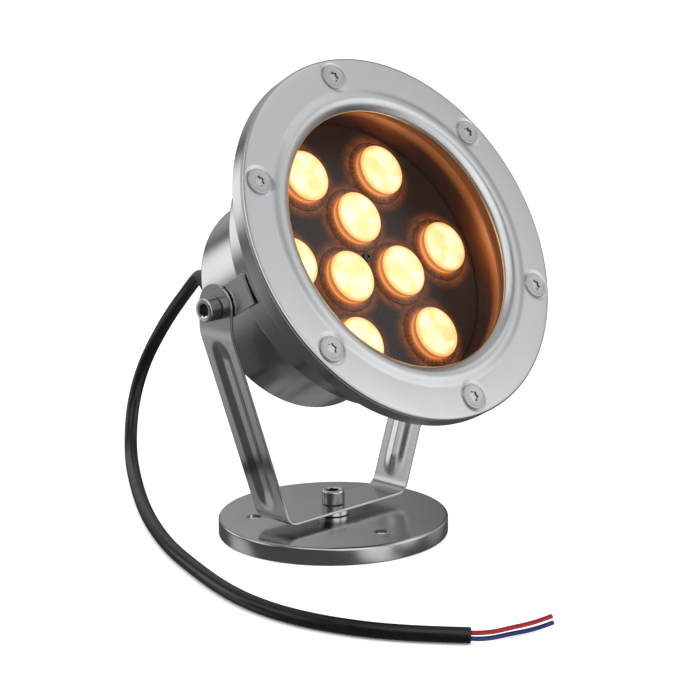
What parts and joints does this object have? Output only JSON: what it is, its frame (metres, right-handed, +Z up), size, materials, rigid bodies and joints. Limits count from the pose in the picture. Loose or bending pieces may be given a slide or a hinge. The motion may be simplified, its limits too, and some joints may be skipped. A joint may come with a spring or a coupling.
{
  "type": "underwater pool light",
  "caption": "Round stainless underwater spotlight with a glazed LED face, tilting in a splayed yoke on a swivelling disc base, with a rubber supply cable.",
  "frame": {"origin": "on the floor, under the middle of the light's own bounding box without its cable", "axes": "+Z up, the lamp faces -Y and tilts up at rest, +X along the tilt axis to the right-hand arm seen from behind the lamp's face looking along +Y"},
  "size_m": [0.1812, 0.3258, 0.2073],
  "materials": {
    "stainless": "brushed stainless sheet",
    "bright_screws": "bright stainless fasteners",
    "black_rubber": "satin black rubber",
    "clear_glass": "clear toughened glass",
    "lens_plastic": "clear acrylic collimator, lit warm white",
    "led_phosphor": "yellow phosphor under a clear dome",
    "board": "black solder mask",
    "alloy": "machined aluminium",
    "red_core": "red core insulation",
    "blue_core": "blue core insulation"
  },
  "bodies": {
    "base": {"base_plate": "stainless", "swivel_bolt": "bright_screws", "swivel_spacer": "stainless", "swivel_nut": "bright_screws"},
    "yoke": {"yoke": "stainless", "tilt_bolt_left": "bright_screws", "tilt_bolt_right": "bright_screws", "supply_cable": "black_rubber", "red_core": "red_core", "blue_core": "blue_core"},
    "head": {"tilt_bracket_left": "stainless", "tilt_bracket_right": "stainless", "front_ring": "stainless", "housing": "stainless", "tilt_nut_left": "bright_screws", "tilt_nut_right": "bright_screws", "ring_screw_1": "bright_screws", "ring_screw_2": "bright_screws", "ring_screw_3": "bright_screws", "ring_screw_4": "bright_screws", "ring_screw_5": "bright_screws", "ring_screw_6": "bright_screws", "ring_nut_1": "bright_screws", "ring_nut_2": "bright_screws", "ring_nut_3": "bright_screws", "ring_nut_4": "bright_screws", "ring_nut_5": "bright_screws", "ring_nut_6": "bright_screws", "board_screw": "bright_screws", "gland_body": "bright_screws", "gland_nut": "bright_screws", "gland_locknut": "bright_screws", "front_gasket": "black_rubber", "rear_gasket": "black_rubber", "gland_seal": "black_rubber", "glass": "clear_glass", "lens_1": "lens_plastic", "lens_2": "lens_plastic", "lens_3": "lens_plastic", "lens_4": "lens_plastic", "lens_5": "lens_plastic", "lens_6": "lens_plastic", "lens_7": "lens_plastic", "lens_8": "lens_plastic", "lens_9": "lens_plastic", "led_1": "led_phosphor", "led_2": "led_phosphor", "led_3": "led_phosphor", "led_4": "led_phosphor", "led_5": "led_phosphor", "led_6": "led_phosphor", "led_7": "led_phosphor", "led_8": "led_phosphor", "led_9": "led_phosphor", "led_board": "board", "driver_board": "board", "heat_sink": "alloy"}
  },
  "joints": [
    {"name": "swivel", "type": "hinge", "parent": "base", "child": "yoke", "pos_m": [0, 0.0143, 0.0118], "axis": [0, 0, 1], "range_deg": [-180, 180]},
    {"name": "tilt", "type": "hinge", "parent": "yoke", "child": "head", "pos_m": [0, 0.0143, 0.1102], "axis": [-1, 0, 0], "range_deg": [-35, 60], "deforming": ["supply_cable"]}
  ]
}
